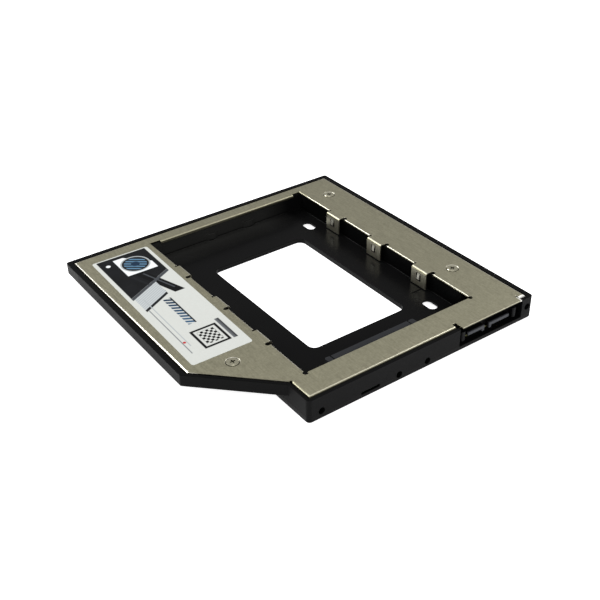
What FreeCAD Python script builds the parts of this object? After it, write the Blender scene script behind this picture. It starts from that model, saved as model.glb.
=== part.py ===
"""Drive bay adapter: a tray the size of a 9.5 mm slim optical drive that carries a 2.5-inch drive.

A moulded frame, stepped where the slim bay is stepped, holds an adapter board with a 22-pin
receptacle facing the drive and a slim 13-pin plug facing the computer. A folded sheet cover
closes the frame round the drive, and its spring tabs grip the drive's sides.

Frame of the part: X across the width, the shallow wing on +X. Y from the front to the rear, the
connectors at the rear. Z up. The origin lies under the centre of the outer box. Millimetres.
"""
import FreeCAD
import Part
import math
import os

# Outer envelope of a slim optical drive
adapter_width = 128.0
adapter_depth = 126.1
frame_height = 9.4
deep_width = 102.3
wing_depth = 89.5
slant_end_from_rear = 10.9
wing_underside = 4.75

# Frame moulding
wide_rim = 2.0
narrow_rim = 1.2
ledge = 0.7
corner_radius = 1.0
rear_corner_radius = 1.6
foot_chamfer = 0.35
floor_top = 1.9
floor_thickness = 0.8
skirt = 2.0
wing_floor = 0.9
guide_wall = 1.2
pilot_clearance = 0.03

# Drive that the bay takes, where it lies, the play left round it, and the slots for its left bottom screws
drive_width = 69.85
drive_hole_inset = 4.07
drive_hole_rear = 14.0
drive_hole_pitch = 76.6
drive_play = 0.72
drive_from_left = 57.15
drive_from_rear = 12.55
slot_width = 3.8
slot_length = 6.4
slot_shift = 0.4

# Floor opening, set from the drive's middle line, with a rib round it down to the bottom, and the fine
# groove in front of the drive's rear end
floor_open_width = 43.4
floor_open_length = 66.6
floor_open_shift = -0.4
floor_open_y = -0.15
floor_open_radius = 2.8
opening_rib = 1.5
groove_from_drive_rear = 23.7
groove_length = 7.0
groove_width = 0.4
groove_depth = 0.25

# Half-round pads at the foot of the front wall, set from the drive's middle line
pad_radius = 4.5
pad_height = 3.2
pad_proud = 1.3
pad_shifts = (8.55, -9.85)

# Cover sheet
cover_thickness = 0.6
cover_proud = 0.2
cover_gap = 0.3
window_from_front = 8.45
lip_drop = 1.2
lip_inset_left = 4.1
lip_inset_right = 4.3
lip_relief = 0.6
corner_relief = 1.0
step_relief = 0.6
bend_radius = 0.4
flange_drop = 1.8
rear_flap_width = 29.2
rear_flap_shift = -0.25
rear_flap_slits = (0.6, 1.7)
rear_flap_slit_depth = 1.8

# Spring tabs along both sides of the window
tab_width = 8.3
tab_pitch = 27.1
tab_reach_left = 1.905
tab_reach_right = 1.405
tab_shift = -0.35
tab_count = 3
tab_floor_gap = 0.4
tab_relief_front = 0.9
tab_relief_rear = 1.8
tab_relief_depth = 0.9
lance_width = 2.2
lance_height = 3.0
lance_slit = 0.4
lance_drop = 1.7
lance_lean = 0.35

# Cover screws in their dimples, and the bosses under them
screw_off_middle = 0.9
front_screw_from_front = 17.05
rear_screw_from_rear = 31.25
wing_screw_before_slant = 13.15
screw_shank = 2.0
screw_length = 3.4
screw_head = 4.4
screw_head_height = 0.55
head_chamfer = 0.5
dimple_radius = 2.6
dimple_depth = 0.35
boss_radius = 2.9
gusset = 1.0
gusset_drop = 1.0
cross_length = 2.0
cross_width = 0.5
cross_depth = 0.45

# Label on the wing
label_width = 24.0
label_thickness = 0.1
label_from_front = 8.25
label_before_screw = 5.9
label_shift_x = -1.7
label_turn = 1.05
label_radius = 1.0

# Rear wall: screw holes for a bay bracket, board slot and plug opening
bracket_hole = 2.5
bracket_low_z = 2.6
bracket_corner_z = 3.2
bracket_post_z = 5.4
bracket_corner_inset = 5.4
bracket_pair_shifts = (6.95, -5.85)
bracket_post_inset = 2.6
bracket_depth = 2.8
post_length = 3.2
plug_open_from_left = 20.8
plug_open_width = 30.8
board_slot_shift = 19.5
board_slot_width = 7.9
board_slot_play = 0.15

# Slots in the front wall for the clips of a bezel
bezel_slot_width = 6.0
bezel_slot_height = 2.0
bezel_slot_spacing = 84.0

# Adapter board
board_thickness = 0.8
board_inset_left = 4.2
board_inset_right = 7.1
board_front_gap = 0.4
board_depth = 7.3
board_step_gap = 2.5
board_plug_edge = 0.1
board_tongue_play = 0.25
board_tongue_recess = 0.7
board_screw_from_plug = 4.6
board_screw_inset = 4.0
board_screw_setback = 4.5
board_screw_length = 2.0
board_screw_head = 3.8
board_screw_head_height = 1.1
board_hole_play = 0.1
board_pad_radius = 3.0
board_pad_skin = 0.4
pilot_end_gap = 0.1

# Receptacle for the drive: body, guide posts and two keyed slots
receptacle_shift = 6.25
receptacle_reach = 4.3
receptacle_end_wall = 0.5
receptacle_depth = 7.8
receptacle_rise = 1.2
receptacle_cover_gap = 1.1
receptacle_post = 2.3
receptacle_post_gap = 0.5
receptacle_post_reach = 0.1
receptacle_web = 2.0
receptacle_slot_rise = 3.5
guide_gap = 0.15
keyed_slot_height = 1.5
keyed_slot_depth = 4.6
keyed_slot_key = 1.2
keyed_slot_key_drop = 1.2
power_slot_width = 20.6
signal_slot_width = 10.4

# Slim plug for the computer: base, guide posts and two keyed tongues
plug_base_from_rear = 3.15
plug_base_depth = 3.5
plug_height = 3.9
plug_post = 2.0
plug_post_tip = 0.9
tongue_tip = 1.2
tongue_rise = 1.1
tongue_thickness = 1.25
tongue_gap = 2.4
tongue_post_gap = 1.5
tongue_key = 1.1
tongue_key_drop = 1.0
signal_tongue_width = 9.9
power_tongue_width = 8.0
plug_side_play = 1.7

# Contacts
contact_pitch = 1.27
host_power_pitch = 1.0
contact_width = 0.7
contact_thickness = 0.2
contact_tail = 1.3
contact_setback = 0.8
tongue_contact_setback = 0.5
drive_power_count = 15
drive_signal_count = 7
host_power_count = 6
host_signal_count = 7

# Board locks and capacitors
lock_thickness = 0.25
lock_width = 1.6
lock_height = 1.6
lock_foot = 1.1
lock_setback = 0.8
plug_lock_setback = 0.4
capacitor_length = 3.2
capacitor_width = 1.6
capacitor_height = 1.3
capacitor_shifts = (-9.8, -1.8, 6.2)
capacitor_edge = 0.1

# How far a cut runs past the face that it opens, and the smallest length that counts
cut_past = 1.0
tiny = 1e-6

# Places worked out from the sizes above
left = -adapter_width / 2
right = adapter_width / 2
front = -adapter_depth / 2
rear = adapter_depth / 2
deep_right = left + deep_width
wing_rear = front + wing_depth
cover_top = frame_height + cover_proud
cover_under = cover_top - cover_thickness
wide_wall = wide_rim + cover_gap + ledge
narrow_wall = narrow_rim + cover_gap + ledge
flange_low = cover_top - flange_drop
fold_radius = bend_radius + cover_thickness
drive_centre_x = left + drive_from_left
drive_rear_y = rear - drive_from_rear
tab_face_left = drive_centre_x - drive_width / 2 - drive_play
tab_face_right = drive_centre_x + drive_width / 2 + drive_play
window_left = tab_face_left - tab_reach_left
window_right = tab_face_right + tab_reach_right
window_front_y = front + window_from_front
tab_middle_y = (window_front_y + drive_rear_y) / 2 + tab_shift
front_wall_y = window_front_y - fold_radius
screw_left_x = (left + window_left) / 2 + screw_off_middle
screw_right_x = (window_right + right) / 2 - screw_off_middle
slant_rise = (rear - slant_end_from_rear - wing_rear) / (right - deep_right)
slant_y = wing_rear + slant_rise * (right - screw_right_x)
screw_places = [
    (screw_left_x, front + front_screw_from_front),
    (screw_left_x, rear - rear_screw_from_rear),
    (screw_right_x, slant_y - wing_screw_before_slant),
]
label_front_y = front + label_from_front
label_rear_y = slant_y - wing_screw_before_slant - label_before_screw
plug_open_x = left + plug_open_from_left
plug_left = plug_open_x - plug_open_width / 2 + plug_side_play
plug_right = plug_open_x + plug_open_width / 2 - plug_side_play
plug_base_rear_y = rear - plug_base_from_rear
plug_base_front_y = plug_base_rear_y - plug_base_depth
board_left = left + board_inset_left
board_right = deep_right - board_inset_right
board_front = drive_rear_y + board_front_gap
board_rear = board_front + board_depth
board_step_x = plug_right + board_step_gap
board_top = floor_top + board_thickness
board_slot_x = drive_centre_x + board_slot_shift
board_screw_x = (plug_right + board_screw_from_plug, board_right - board_screw_inset)
board_screw_y = board_front + board_screw_setback
plug_high_z = board_top + plug_height
tongue_low_z = board_top + tongue_rise
receptacle_x = drive_centre_x + receptacle_shift
receptacle_face_y = drive_rear_y - receptacle_reach
receptacle_body_width = power_slot_width + receptacle_web + signal_slot_width + 2 * receptacle_end_wall
receptacle_low_z = floor_top + receptacle_rise
receptacle_high_z = cover_under - receptacle_cover_gap
receptacle_slot_z = floor_top + receptacle_slot_rise
step_down = wing_underside + wing_floor
up = FreeCAD.Vector(0, 0, 1)


def vector(x, y, z=0.0):
    return FreeCAD.Vector(x, y, z)


def block(x0, y0, z0, x1, y1, z1):
    """Box between two corners."""
    return Part.makeBox(x1 - x0, y1 - y0, z1 - z0, vector(x0, y0, z0))


def rod(x, y, z0, z1, radius):
    """Upright cylinder."""
    return Part.makeCylinder(radius, z1 - z0, vector(x, y, z0))


def joined(shapes):
    """One shape from several that touch or overlap, with merged faces."""
    result = shapes[0]
    for shape in shapes[1:]:
        result = result.fuse(shape)
    return result.removeSplitter()


def rounded_wire(points, radii):
    """Closed outline with an arc of the given radius at each corner."""
    edges = []
    starts = []
    ends = []
    count = len(points)
    for i in range(count):
        corner = points[i]
        to_last = (points[i - 1] - corner).normalize()
        to_next = (points[(i + 1) % count] - corner).normalize()
        radius = radii[i]
        half = to_last.getAngle(to_next) / 2
        if radius <= 0:
            starts.append(corner)
            ends.append(corner)
            edges.append(None)
            continue
        reach = radius / math.tan(half)
        middle = (to_last + to_next).normalize()
        centre = corner + middle * (radius / math.sin(half))
        start = corner + to_last * reach
        end = corner + to_next * reach
        crown = centre - middle * radius
        starts.append(start)
        ends.append(end)
        edges.append(Part.Arc(start, crown, end).toShape())
    chain = []
    for i in range(count):
        if edges[i] is not None:
            chain.append(edges[i])
        following = starts[(i + 1) % count]
        if (following - ends[i]).Length > tiny:
            chain.append(Part.makeLine(ends[i], following))
    return Part.Wire(chain)


def prism(points, z0, z1, radii=None):
    """Upright prism on an outline of points, corners rounded by radii."""
    if radii is None:
        radii = [0.0] * len(points)
    raised = [vector(p.x, p.y, z0) for p in points]
    return Part.Face(rounded_wire(raised, radii)).extrude(up * (z1 - z0))


def extruded(points, direction):
    """Prism on a closed outline of space points, swept along a direction."""
    wire = Part.makePolygon(points + [points[0]])
    return Part.Face(wire).extrude(direction)


def inset(points, distances):
    """Outline moved inwards, edge i by its own distance; the points run counter-clockwise."""
    count = len(points)
    lines = []
    for i in range(count):
        along = (points[(i + 1) % count] - points[i]).normalize()
        inward = vector(-along.y, along.x)
        lines.append((points[i] + inward * distances[i], along))
    moved = []
    for i in range(count):
        base, along = lines[i - 1]
        other, cross_line = lines[i]
        scale = along.x * cross_line.y - along.y * cross_line.x
        offset = other - base
        reach = (offset.x * cross_line.y - offset.y * cross_line.x) / scale
        moved.append(base + along * reach)
    return moved


def slot_cut(x, y, width, length, z0, z1):
    """Upright slot with round ends, lengthwise along Y."""
    half = (length - width) / 2
    radius = width / 2
    straight = block(x - radius, y - half, z0, x + radius, y + half, z1)
    return joined([straight, rod(x, y - half, z0, z1, radius), rod(x, y + half, z0, z1, radius)])


# The stepped outline of a slim drive, counter-clockwise from the front left corner
outline = [
    vector(left, front),
    vector(right, front),
    vector(right, wing_rear),
    vector(deep_right, rear - slant_end_from_rear),
    vector(deep_right, rear),
    vector(left, rear),
]
outline_radii = [corner_radius, corner_radius, corner_radius, 0.0, rear_corner_radius, corner_radius]
deep_outline = [vector(left, front), vector(deep_right, front), vector(deep_right, rear), vector(left, rear)]
deep_radii = [corner_radius, 0.0, rear_corner_radius, corner_radius]


def side_values(wide, narrow):
    """One value for each side of the outline: front, wing side, slant, step side, rear, left."""
    return [wide, wide, narrow, narrow, narrow, wide]


def frame_envelope():
    """Outer body: the deep part, the raised wing, and a chamfered foot."""
    deep = prism(deep_outline, 0.0, frame_height, deep_radii)
    foot = [
        edge
        for edge in deep.Edges
        if edge.BoundBox.ZMax < tiny and edge.BoundBox.XMax < deep_right + tiny
    ]
    deep = deep.makeChamfer(foot_chamfer, foot)
    wing = prism(outline, wing_underside, frame_height, outline_radii)
    return joined([deep, wing])


def seat_prism(z0, z1):
    """Space inside the rim that takes the cover's edge."""
    radii = [corner_radius / 2] * 3 + [0.0] + [corner_radius / 2] * 2
    return prism(inset(outline, side_values(wide_rim, narrow_rim)), z0, z1, radii)


def floor_opening():
    """Corners of the large opening in the floor."""
    middle_x = drive_centre_x + floor_open_shift
    half_x = floor_open_width / 2
    half_y = floor_open_length / 2
    return [
        vector(middle_x - half_x, floor_open_y - half_y),
        vector(middle_x + half_x, floor_open_y - half_y),
        vector(middle_x + half_x, floor_open_y + half_y),
        vector(middle_x - half_x, floor_open_y + half_y),
    ]


def frame_hollows():
    """Cover seat, the deep pocket, the wing pocket and the recess under the floor round the opening's rib."""
    inner = inset(outline, side_values(wide_wall, narrow_wall))
    top = frame_height + cut_past
    pocket = block(inner[0].x, inner[0].y, floor_top, deep_right - narrow_wall, inner[4].y, top)
    wing_width = inner[1].x - deep_right
    wing_radius = min(corner_radius, wing_width) / 2
    wing_pocket = prism(
        [
            vector(deep_right, inner[1].y),
            inner[1],
            inner[2],
            vector(deep_right, inner[2].y + slant_rise * wing_width),
        ],
        step_down,
        top,
        [wing_radius, wing_radius, wing_radius, 0.0],
    )
    recess = prism(
        inset(deep_outline, [skirt] * 4),
        -cut_past,
        floor_top - floor_thickness,
        [corner_radius] * 4,
    )
    rib = prism(
        inset(floor_opening(), [-opening_rib] * 4),
        -cut_past,
        floor_top,
        [floor_open_radius + opening_rib] * 4,
    )
    return [seat_prism(flange_low, top), pocket, wing_pocket, recess.cut(rib)]


def cover_bosses():
    """Bosses under the cover screws, each tied to the nearest outer wall by a gusset."""
    shapes = []
    high = cover_under - dimple_depth
    for x, y in screw_places:
        on_wing = x > deep_right
        low = wing_underside if on_wing else floor_top - floor_thickness
        wall_x = deep_right if x > drive_centre_x else left + wide_wall
        shapes.append(rod(x, y, low, high, boss_radius))
        shapes.append(block(min(x, wall_x), y - gusset / 2, low, max(x, wall_x), y + gusset / 2,
                            high - gusset_drop))
    return shapes


def frame_additions():
    """Guide walls beside the drive, the front wall, pads, corner posts, bosses and board pads."""
    low = floor_top - floor_thickness
    inner = inset(outline, side_values(wide_wall, narrow_wall))
    guide_rear = receptacle_face_y - receptacle_post_reach - guide_gap
    wall_back = front_wall_y - guide_wall
    shapes = [
        block(window_left - guide_wall, wall_back, low, window_left, guide_rear, cover_under),
        block(window_right, wall_back, low, window_right + guide_wall, guide_rear, cover_under),
        block(inner[0].x, wall_back, low, deep_right - narrow_wall, front_wall_y, cover_under),
        block(left + wide_wall, rear - post_length, low, left_post_edge(), rear - narrow_wall, cover_under),
        block(board_right + cover_gap, rear - post_length, low, deep_right - narrow_wall, rear - narrow_wall,
              cover_under),
    ]
    for shift in pad_shifts:
        x = drive_centre_x + shift
        centre_y = front_wall_y + pad_proud - pad_radius
        pad = rod(x, centre_y, low, floor_top + pad_height, pad_radius)
        shapes.append(pad.cut(block(x - pad_radius, centre_y - pad_radius, low, x + pad_radius, wall_back,
                                  cover_under)))
    for x in board_screw_x:
        shapes.append(rod(x, board_screw_y, board_pad_skin, floor_top, board_pad_radius))
    return shapes + cover_bosses()


def left_post_edge():
    """Edge of the plug opening that the left corner post reaches."""
    return plug_open_x - plug_open_width / 2


def fold_clearance():
    """Room for the inside of the cover's bends over what stands against the ledge."""
    past_rim = cover_gap + fold_radius
    inner = inset(outline, side_values(wide_rim + past_rim, narrow_rim + past_rim))
    high = frame_height + cut_past
    return seat_prism(cover_under - bend_radius, high).cut(prism(inner, flange_low, high + cut_past))


def rear_wall_cuts():
    """Bracket screw holes, the plug opening and the slot that takes the board's tongue."""
    back = vector(0, -1, 0)
    holes = [
        (deep_right - bracket_corner_inset, bracket_corner_z, bracket_depth),
        (left + bracket_post_inset, bracket_post_z, bracket_depth),
    ]
    for shift in bracket_pair_shifts:
        holes.append((drive_centre_x + shift, bracket_low_z, narrow_wall))
    cuts = [Part.makeCylinder(bracket_hole / 2, depth, vector(x, rear, z), back) for x, z, depth in holes]
    cuts.append(block(left_post_edge(), rear - post_length, floor_top, plug_open_x + plug_open_width / 2,
                      rear + cut_past, frame_height + cut_past))
    half = board_slot_width / 2
    cuts.append(block(board_slot_x - half, rear - narrow_wall - cut_past, floor_top - board_slot_play,
                      board_slot_x + half, rear + cut_past, board_top + board_slot_play))
    return cuts


def front_wall_cuts():
    """Two slots that take the clips of a bezel."""
    cuts = []
    middle_z = (floor_top + cover_under) / 2
    for side in (-1, 1):
        x = (left + deep_right) / 2 + side * bezel_slot_spacing / 2
        cuts.append(block(x - bezel_slot_width / 2, front - cut_past, middle_z - bezel_slot_height / 2,
                          x + bezel_slot_width / 2, front + wide_wall + cut_past,
                          middle_z + bezel_slot_height / 2))
    return cuts


def drive_slot_places():
    """Centres of the slots under the drive's left bottom screw holes."""
    x = drive_centre_x - drive_width / 2 + drive_hole_inset
    rear_y = drive_rear_y - drive_hole_rear + slot_shift
    return [(x, rear_y), (x, rear_y - drive_hole_pitch)]


def floor_cuts():
    """The large floor opening, the drive's screw slots, the groove and the screw pilots."""
    cuts = [prism(floor_opening(), -cut_past, floor_top + cut_past, [floor_open_radius] * 4)]
    for x, y in drive_slot_places():
        cuts.append(slot_cut(x, y, slot_width, slot_length, -cut_past, floor_top + cut_past))
    groove_y = drive_rear_y - groove_from_drive_rear
    cuts.append(block(window_left, groove_y, floor_top - groove_depth, window_left + groove_length,
                      groove_y + groove_width, floor_top + cut_past))
    pilot = screw_shank / 2 + pilot_clearance
    for x, y in screw_places:
        cuts.append(rod(x, y, cover_under - dimple_depth - screw_length, frame_height, pilot))
    for x in board_screw_x:
        low = board_top - board_screw_length - pilot_end_gap
        cuts.append(rod(x, board_screw_y, low, floor_top + cut_past, pilot))
    return cuts


def make_frame():
    """The whole moulding."""
    body = frame_envelope()
    for hollow in frame_hollows():
        body = body.cut(hollow)
    body = joined([body] + frame_additions())
    for cut in floor_cuts() + rear_wall_cuts() + front_wall_cuts() + [fold_clearance()]:
        body = body.cut(cut)
    return body.removeSplitter()


def bent_tab(edge_x, face_x, y0, y1, low_z):
    """Strip that leaves the sheet at edge_x and bends down at face_x; both run along Y."""
    sign = 1 if face_x > edge_x else -1
    outer = fold_radius
    centre_x = face_x - sign * outer
    centre_z = cover_top - outer
    slope = math.sqrt(0.5)
    points = [
        vector(edge_x, y0, cover_top),
        vector(centre_x, y0, cover_top),
        vector(face_x, y0, centre_z),
        vector(face_x, y0, low_z),
        vector(face_x - sign * cover_thickness, y0, low_z),
        vector(face_x - sign * cover_thickness, y0, centre_z),
        vector(centre_x, y0, cover_under),
        vector(edge_x, y0, cover_under),
    ]
    crown = vector(centre_x + sign * outer * slope, y0, centre_z + outer * slope)
    hollow = vector(centre_x + sign * bend_radius * slope, y0, centre_z + bend_radius * slope)
    edges = [
        Part.makeLine(points[0], points[1]),
        Part.Arc(points[1], crown, points[2]).toShape(),
        Part.makeLine(points[2], points[3]),
        Part.makeLine(points[3], points[4]),
        Part.makeLine(points[4], points[5]),
        Part.Arc(points[5], hollow, points[6]).toShape(),
        Part.makeLine(points[6], points[7]),
        Part.makeLine(points[7], points[0]),
    ]
    return Part.Face(Part.Wire(edges)).extrude(vector(0, y1 - y0, 0))


def spring_tab(edge_x, face_x, y):
    """One spring tab with its lanced finger, which leans out to press on the drive."""
    sign = 1 if face_x > edge_x else -1
    low_z = floor_top + tab_floor_gap
    tab = bent_tab(edge_x, face_x, y - tab_width / 2, y + tab_width / 2, low_z)
    lance_top = cover_top - lance_drop
    back_x = face_x - sign * cover_thickness
    hole = block(min(back_x, face_x) - cut_past, y - lance_width / 2, lance_top - lance_height,
                 max(back_x, face_x) + cut_past, y + lance_width / 2, lance_top)
    lean = sign * lance_lean
    finger_low = lance_top - lance_height + lance_slit
    profile = [
        vector(back_x, 0, lance_top),
        vector(face_x, 0, lance_top),
        vector(face_x + lean, 0, finger_low),
        vector(back_x + lean, 0, finger_low),
    ]
    start_y = y - lance_width / 2 + lance_slit
    finger_width = lance_width - 2 * lance_slit
    finger = extruded([vector(p.x, start_y, p.z) for p in profile], vector(0, finger_width, 0))
    return joined([tab.cut(hole), finger])


def tab_places():
    """Middle of each tab along Y."""
    return [tab_middle_y + tab_pitch * (i - (tab_count - 1) / 2) for i in range(tab_count)]


def tab_reliefs(edge_x, sign):
    """Cuts in the sheet beside each tab: a fine one in front and a wider round one behind."""
    cuts = []
    deep = edge_x + sign * tab_relief_depth
    for y in tab_places():
        fore = y - tab_width / 2
        aft = y + tab_width / 2
        low = cover_under - cut_past
        high = cover_top + cut_past
        cuts.append(block(min(edge_x, deep), fore - tab_relief_front, low, max(edge_x, deep), fore, high))
        cuts.append(block(min(edge_x, deep), aft, low, max(edge_x, deep), aft + tab_relief_rear, high))
        cuts.append(rod(deep, aft + tab_relief_rear / 2, low, high, tab_relief_rear / 2))
    return cuts


def front_lip():
    """Stiffening lip folded down at the front of the window."""
    outer = fold_radius
    face = window_front_y
    x0 = window_left + lip_inset_left
    x1 = window_right - lip_inset_right
    centre_y = face - outer
    centre_z = cover_top - outer
    low = cover_top - lip_drop
    slope = math.sqrt(0.5)
    points = [
        vector(x0, centre_y, cover_top),
        vector(x0, face, centre_z),
        vector(x0, face, low),
        vector(x0, face - cover_thickness, low),
        vector(x0, face - cover_thickness, centre_z),
        vector(x0, centre_y, cover_under),
    ]
    crown = vector(x0, centre_y + outer * slope, centre_z + outer * slope)
    hollow = vector(x0, centre_y + bend_radius * slope, centre_z + bend_radius * slope)
    edges = [
        Part.Arc(points[0], crown, points[1]).toShape(),
        Part.makeLine(points[1], points[2]),
        Part.makeLine(points[2], points[3]),
        Part.makeLine(points[3], points[4]),
        Part.Arc(points[4], hollow, points[5]).toShape(),
        Part.makeLine(points[5], points[0]),
    ]
    return Part.Face(Part.Wire(edges)).extrude(vector(x1 - x0, 0, 0))


def dimple_press(x, y, sign):
    """Cone frustum that forms one side of a screw dimple, sign 1 for the top of the sheet."""
    face_z = cover_top if sign > 0 else cover_under
    floor_radius = dimple_radius - dimple_depth
    return Part.makeCone(floor_radius, dimple_radius, dimple_depth, vector(x, y, face_z - dimple_depth))


def fold_cutter(base, along, length, high, radius):
    """Bar to cut away along one side, which leaves the sheet's edge rounded over by the given radius."""
    inward = vector(-along.y, along.x)
    slope = math.sqrt(0.5)
    foot = base + up * (high - radius)
    crown = foot + inward * (radius * (1 - slope)) + up * (radius * slope)
    ridge = foot + inward * radius + up * radius
    above = ridge + up * cut_past
    outside = above - inward * (radius + cut_past)
    beside = foot - inward * cut_past
    edges = [
        Part.Arc(foot, crown, ridge).toShape(),
        Part.makeLine(ridge, above),
        Part.makeLine(above, outside),
        Part.makeLine(outside, beside),
        Part.makeLine(beside, foot),
    ]
    return Part.Face(Part.Wire(edges)).extrude(along * length)


def folded_block(points, folded, z0, z1, radius):
    """Upright prism whose top edge is rounded along the folded sides and mitred where two of them meet."""
    body = prism(points, z0, z1)
    for i in folded:
        start = points[i]
        end = points[(i + 1) % len(points)]
        along = (end - start).normalize()
        before = (start - points[i - 1]).normalize()
        convex = before.x * along.y - before.y * along.x > 0
        base = start - along * cut_past if convex else start
        body = body.cut(fold_cutter(base, along, (end - base).Length + cut_past, z1, radius))
    return body


def folded_sheet(edge):
    """The sheet with its edge folded down all round, apart from the slant, and flat over the plug."""
    slant_side = 2
    folded = [side for side in range(len(edge)) if side != slant_side]
    sheet = folded_block(edge, folded, flange_low, cover_top, fold_radius)
    inner = inset(edge, [cover_thickness] * 2 + [-cut_past] + [cover_thickness] * 3)
    sheet = sheet.cut(folded_block(inner, folded, flange_low - cut_past, cover_under, bend_radius))
    flap_left = plug_open_x + rear_flap_shift - rear_flap_width / 2
    flap_right = flap_left + rear_flap_width
    root = edge[4].y - fold_radius
    sheet = sheet.cut(block(flap_left, root, flange_low - cut_past, flap_right, rear, cover_under))
    sheet = sheet.fuse(block(flap_left, root, cover_under, flap_right, rear, cover_top))
    low = flange_low - cut_past
    high = cover_top + cut_past
    slit_front = edge[4].y - rear_flap_slit_depth
    left_slit, right_slit = rear_flap_slits
    for x0, width in ((flap_left - left_slit, left_slit), (flap_right, right_slit)):
        sheet = sheet.cut(block(x0, slit_front, low, x0 + width, rear, high))
        sheet = sheet.cut(rod(x0 + width / 2, slit_front, low, high, width / 2))
    return sheet.cut(rod(edge[3].x, edge[3].y, low, high, step_relief))


def make_cover():
    """The folded sheet cover."""
    edge = inset(outline, side_values(wide_rim + cover_gap, narrow_rim + cover_gap))
    sheet = folded_sheet(edge)
    low = cover_under - cut_past
    high = cover_top + cut_past
    lip_bend_y = window_front_y - fold_radius
    lip_left = window_left + lip_inset_left
    lip_right = window_right - lip_inset_right
    cuts = [
        block(window_left, lip_bend_y, low, window_right, drive_rear_y, high),
        block(window_left, lip_bend_y - lip_relief, low, lip_left, lip_bend_y, high),
        block(lip_right, lip_bend_y - lip_relief, low, window_right, lip_bend_y, high),
        rod(window_left, drive_rear_y, low, high, corner_relief),
        rod(window_right, drive_rear_y, low, high, corner_relief),
    ]
    cuts += tab_reliefs(window_left, -1) + tab_reliefs(window_right, 1)
    for cut in cuts:
        sheet = sheet.cut(cut)
    tabs = [spring_tab(window_left, tab_face_left, y) for y in tab_places()]
    tabs += [spring_tab(window_right, tab_face_right, y) for y in tab_places()]
    sheet = joined([sheet, front_lip()] + tabs)
    for x, y in screw_places:
        sheet = sheet.fuse(dimple_press(x, y, -1)).cut(dimple_press(x, y, 1))
        sheet = sheet.cut(rod(x, y, low, high, screw_shank / 2 + board_hole_play))
    return sheet.removeSplitter()


def cross_cut(x, y, top):
    """Cross recess of a screw head."""
    half = cross_length / 2
    thin = cross_width / 2
    bars = [
        block(x - half, y - thin, top - cross_depth, x + half, y + thin, top + cut_past),
        block(x - thin, y - half, top - cross_depth, x + thin, y + half, top + cut_past),
    ]
    return joined(bars)


def screw(x, y, seat_z, length, head_diameter, head_height):
    """Cross-head screw whose head stands on seat_z, bevelled over its edge."""
    head = rod(x, y, seat_z, seat_z + head_height, head_diameter / 2)
    rim = [edge for edge in head.Edges if edge.BoundBox.ZMin > seat_z + head_height - tiny]
    head = head.makeChamfer(head_height * head_chamfer, rim)
    body = joined([head, rod(x, y, seat_z - length, seat_z, screw_shank / 2)])
    return body.cut(cross_cut(x, y, seat_z + head_height))


def make_cover_screws():
    """The screws that hold the cover, each in its dimple."""
    seat_z = cover_top - dimple_depth
    return [screw(x, y, seat_z, screw_length, screw_head, screw_head_height) for x, y in screw_places]


def make_board_screws():
    """The screws that hold the adapter board to the floor."""
    return [
        screw(x, board_screw_y, board_top, board_screw_length, board_screw_head, board_screw_head_height)
        for x in board_screw_x
    ]


def make_label():
    """Thin label on the wing, set a little askew."""
    half_w = label_width / 2
    half_l = (label_rear_y - label_front_y) / 2
    corners = [
        vector(-half_w, -half_l),
        vector(half_w, -half_l),
        vector(half_w, half_l),
        vector(-half_w, half_l),
    ]
    label = prism(corners, 0.0, label_thickness, [label_radius] * 4)
    label.rotate(vector(0, 0), up, -label_turn)
    middle_x = (window_right + right) / 2 + label_shift_x
    label.translate(vector(middle_x, label_front_y + half_l, cover_top))
    return label


def make_board():
    """Adapter board: a long strip, deeper under the plug, with a tongue that enters the rear wall."""
    board = block(board_left, board_front, floor_top, board_right, board_rear, board_top)
    plug_end = block(board_left, board_front, floor_top, board_step_x,
                     plug_base_rear_y - board_plug_edge, board_top)
    half = board_slot_width / 2 - board_tongue_play
    tongue = block(board_slot_x - half, board_front, floor_top, board_slot_x + half,
                   rear - board_tongue_recess, board_top)
    board = joined([board, plug_end, tongue])
    for x in board_screw_x:
        board = board.cut(rod(x, board_screw_y, floor_top - cut_past, board_top + cut_past,
                              screw_shank / 2 + board_hole_play))
    return board


def contact_places(middle_x, count, pitch):
    """Contact centres across a connector."""
    return [middle_x + pitch * (i - (count - 1) / 2) for i in range(count)]


def receptacle_slots():
    """The middle of each keyed slot and its width, the power slot on the +X side."""
    total = power_slot_width + receptacle_web + signal_slot_width
    power_x = receptacle_x + total / 2 - power_slot_width / 2
    signal_x = receptacle_x - total / 2 + signal_slot_width / 2
    return power_x, signal_x


def receptacle_contact(x):
    """Spring strip in the lower side of a keyed slot, with a tail down to the board."""
    y0 = receptacle_face_y + contact_setback
    y1 = receptacle_face_y + receptacle_depth + contact_tail
    low = receptacle_slot_z - keyed_slot_height / 2 - contact_thickness / 2
    bend = receptacle_face_y + receptacle_depth
    side = x - contact_width / 2
    points = [
        vector(side, y0, low),
        vector(side, y0, low + contact_thickness),
        vector(side, bend + contact_thickness, low + contact_thickness),
        vector(side, bend + contact_thickness, board_top + contact_thickness),
        vector(side, y1, board_top + contact_thickness),
        vector(side, y1, board_top),
        vector(side, bend, board_top),
        vector(side, bend, low),
    ]
    return extruded(points, vector(contact_width, 0, 0))


def make_drive_contacts():
    """Power contacts and signal contacts of the receptacle."""
    power_x, signal_x = receptacle_slots()
    power = [receptacle_contact(x) for x in contact_places(power_x, drive_power_count, contact_pitch)]
    signal = [receptacle_contact(x) for x in contact_places(signal_x, drive_signal_count, contact_pitch)]
    return power, signal


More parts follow.
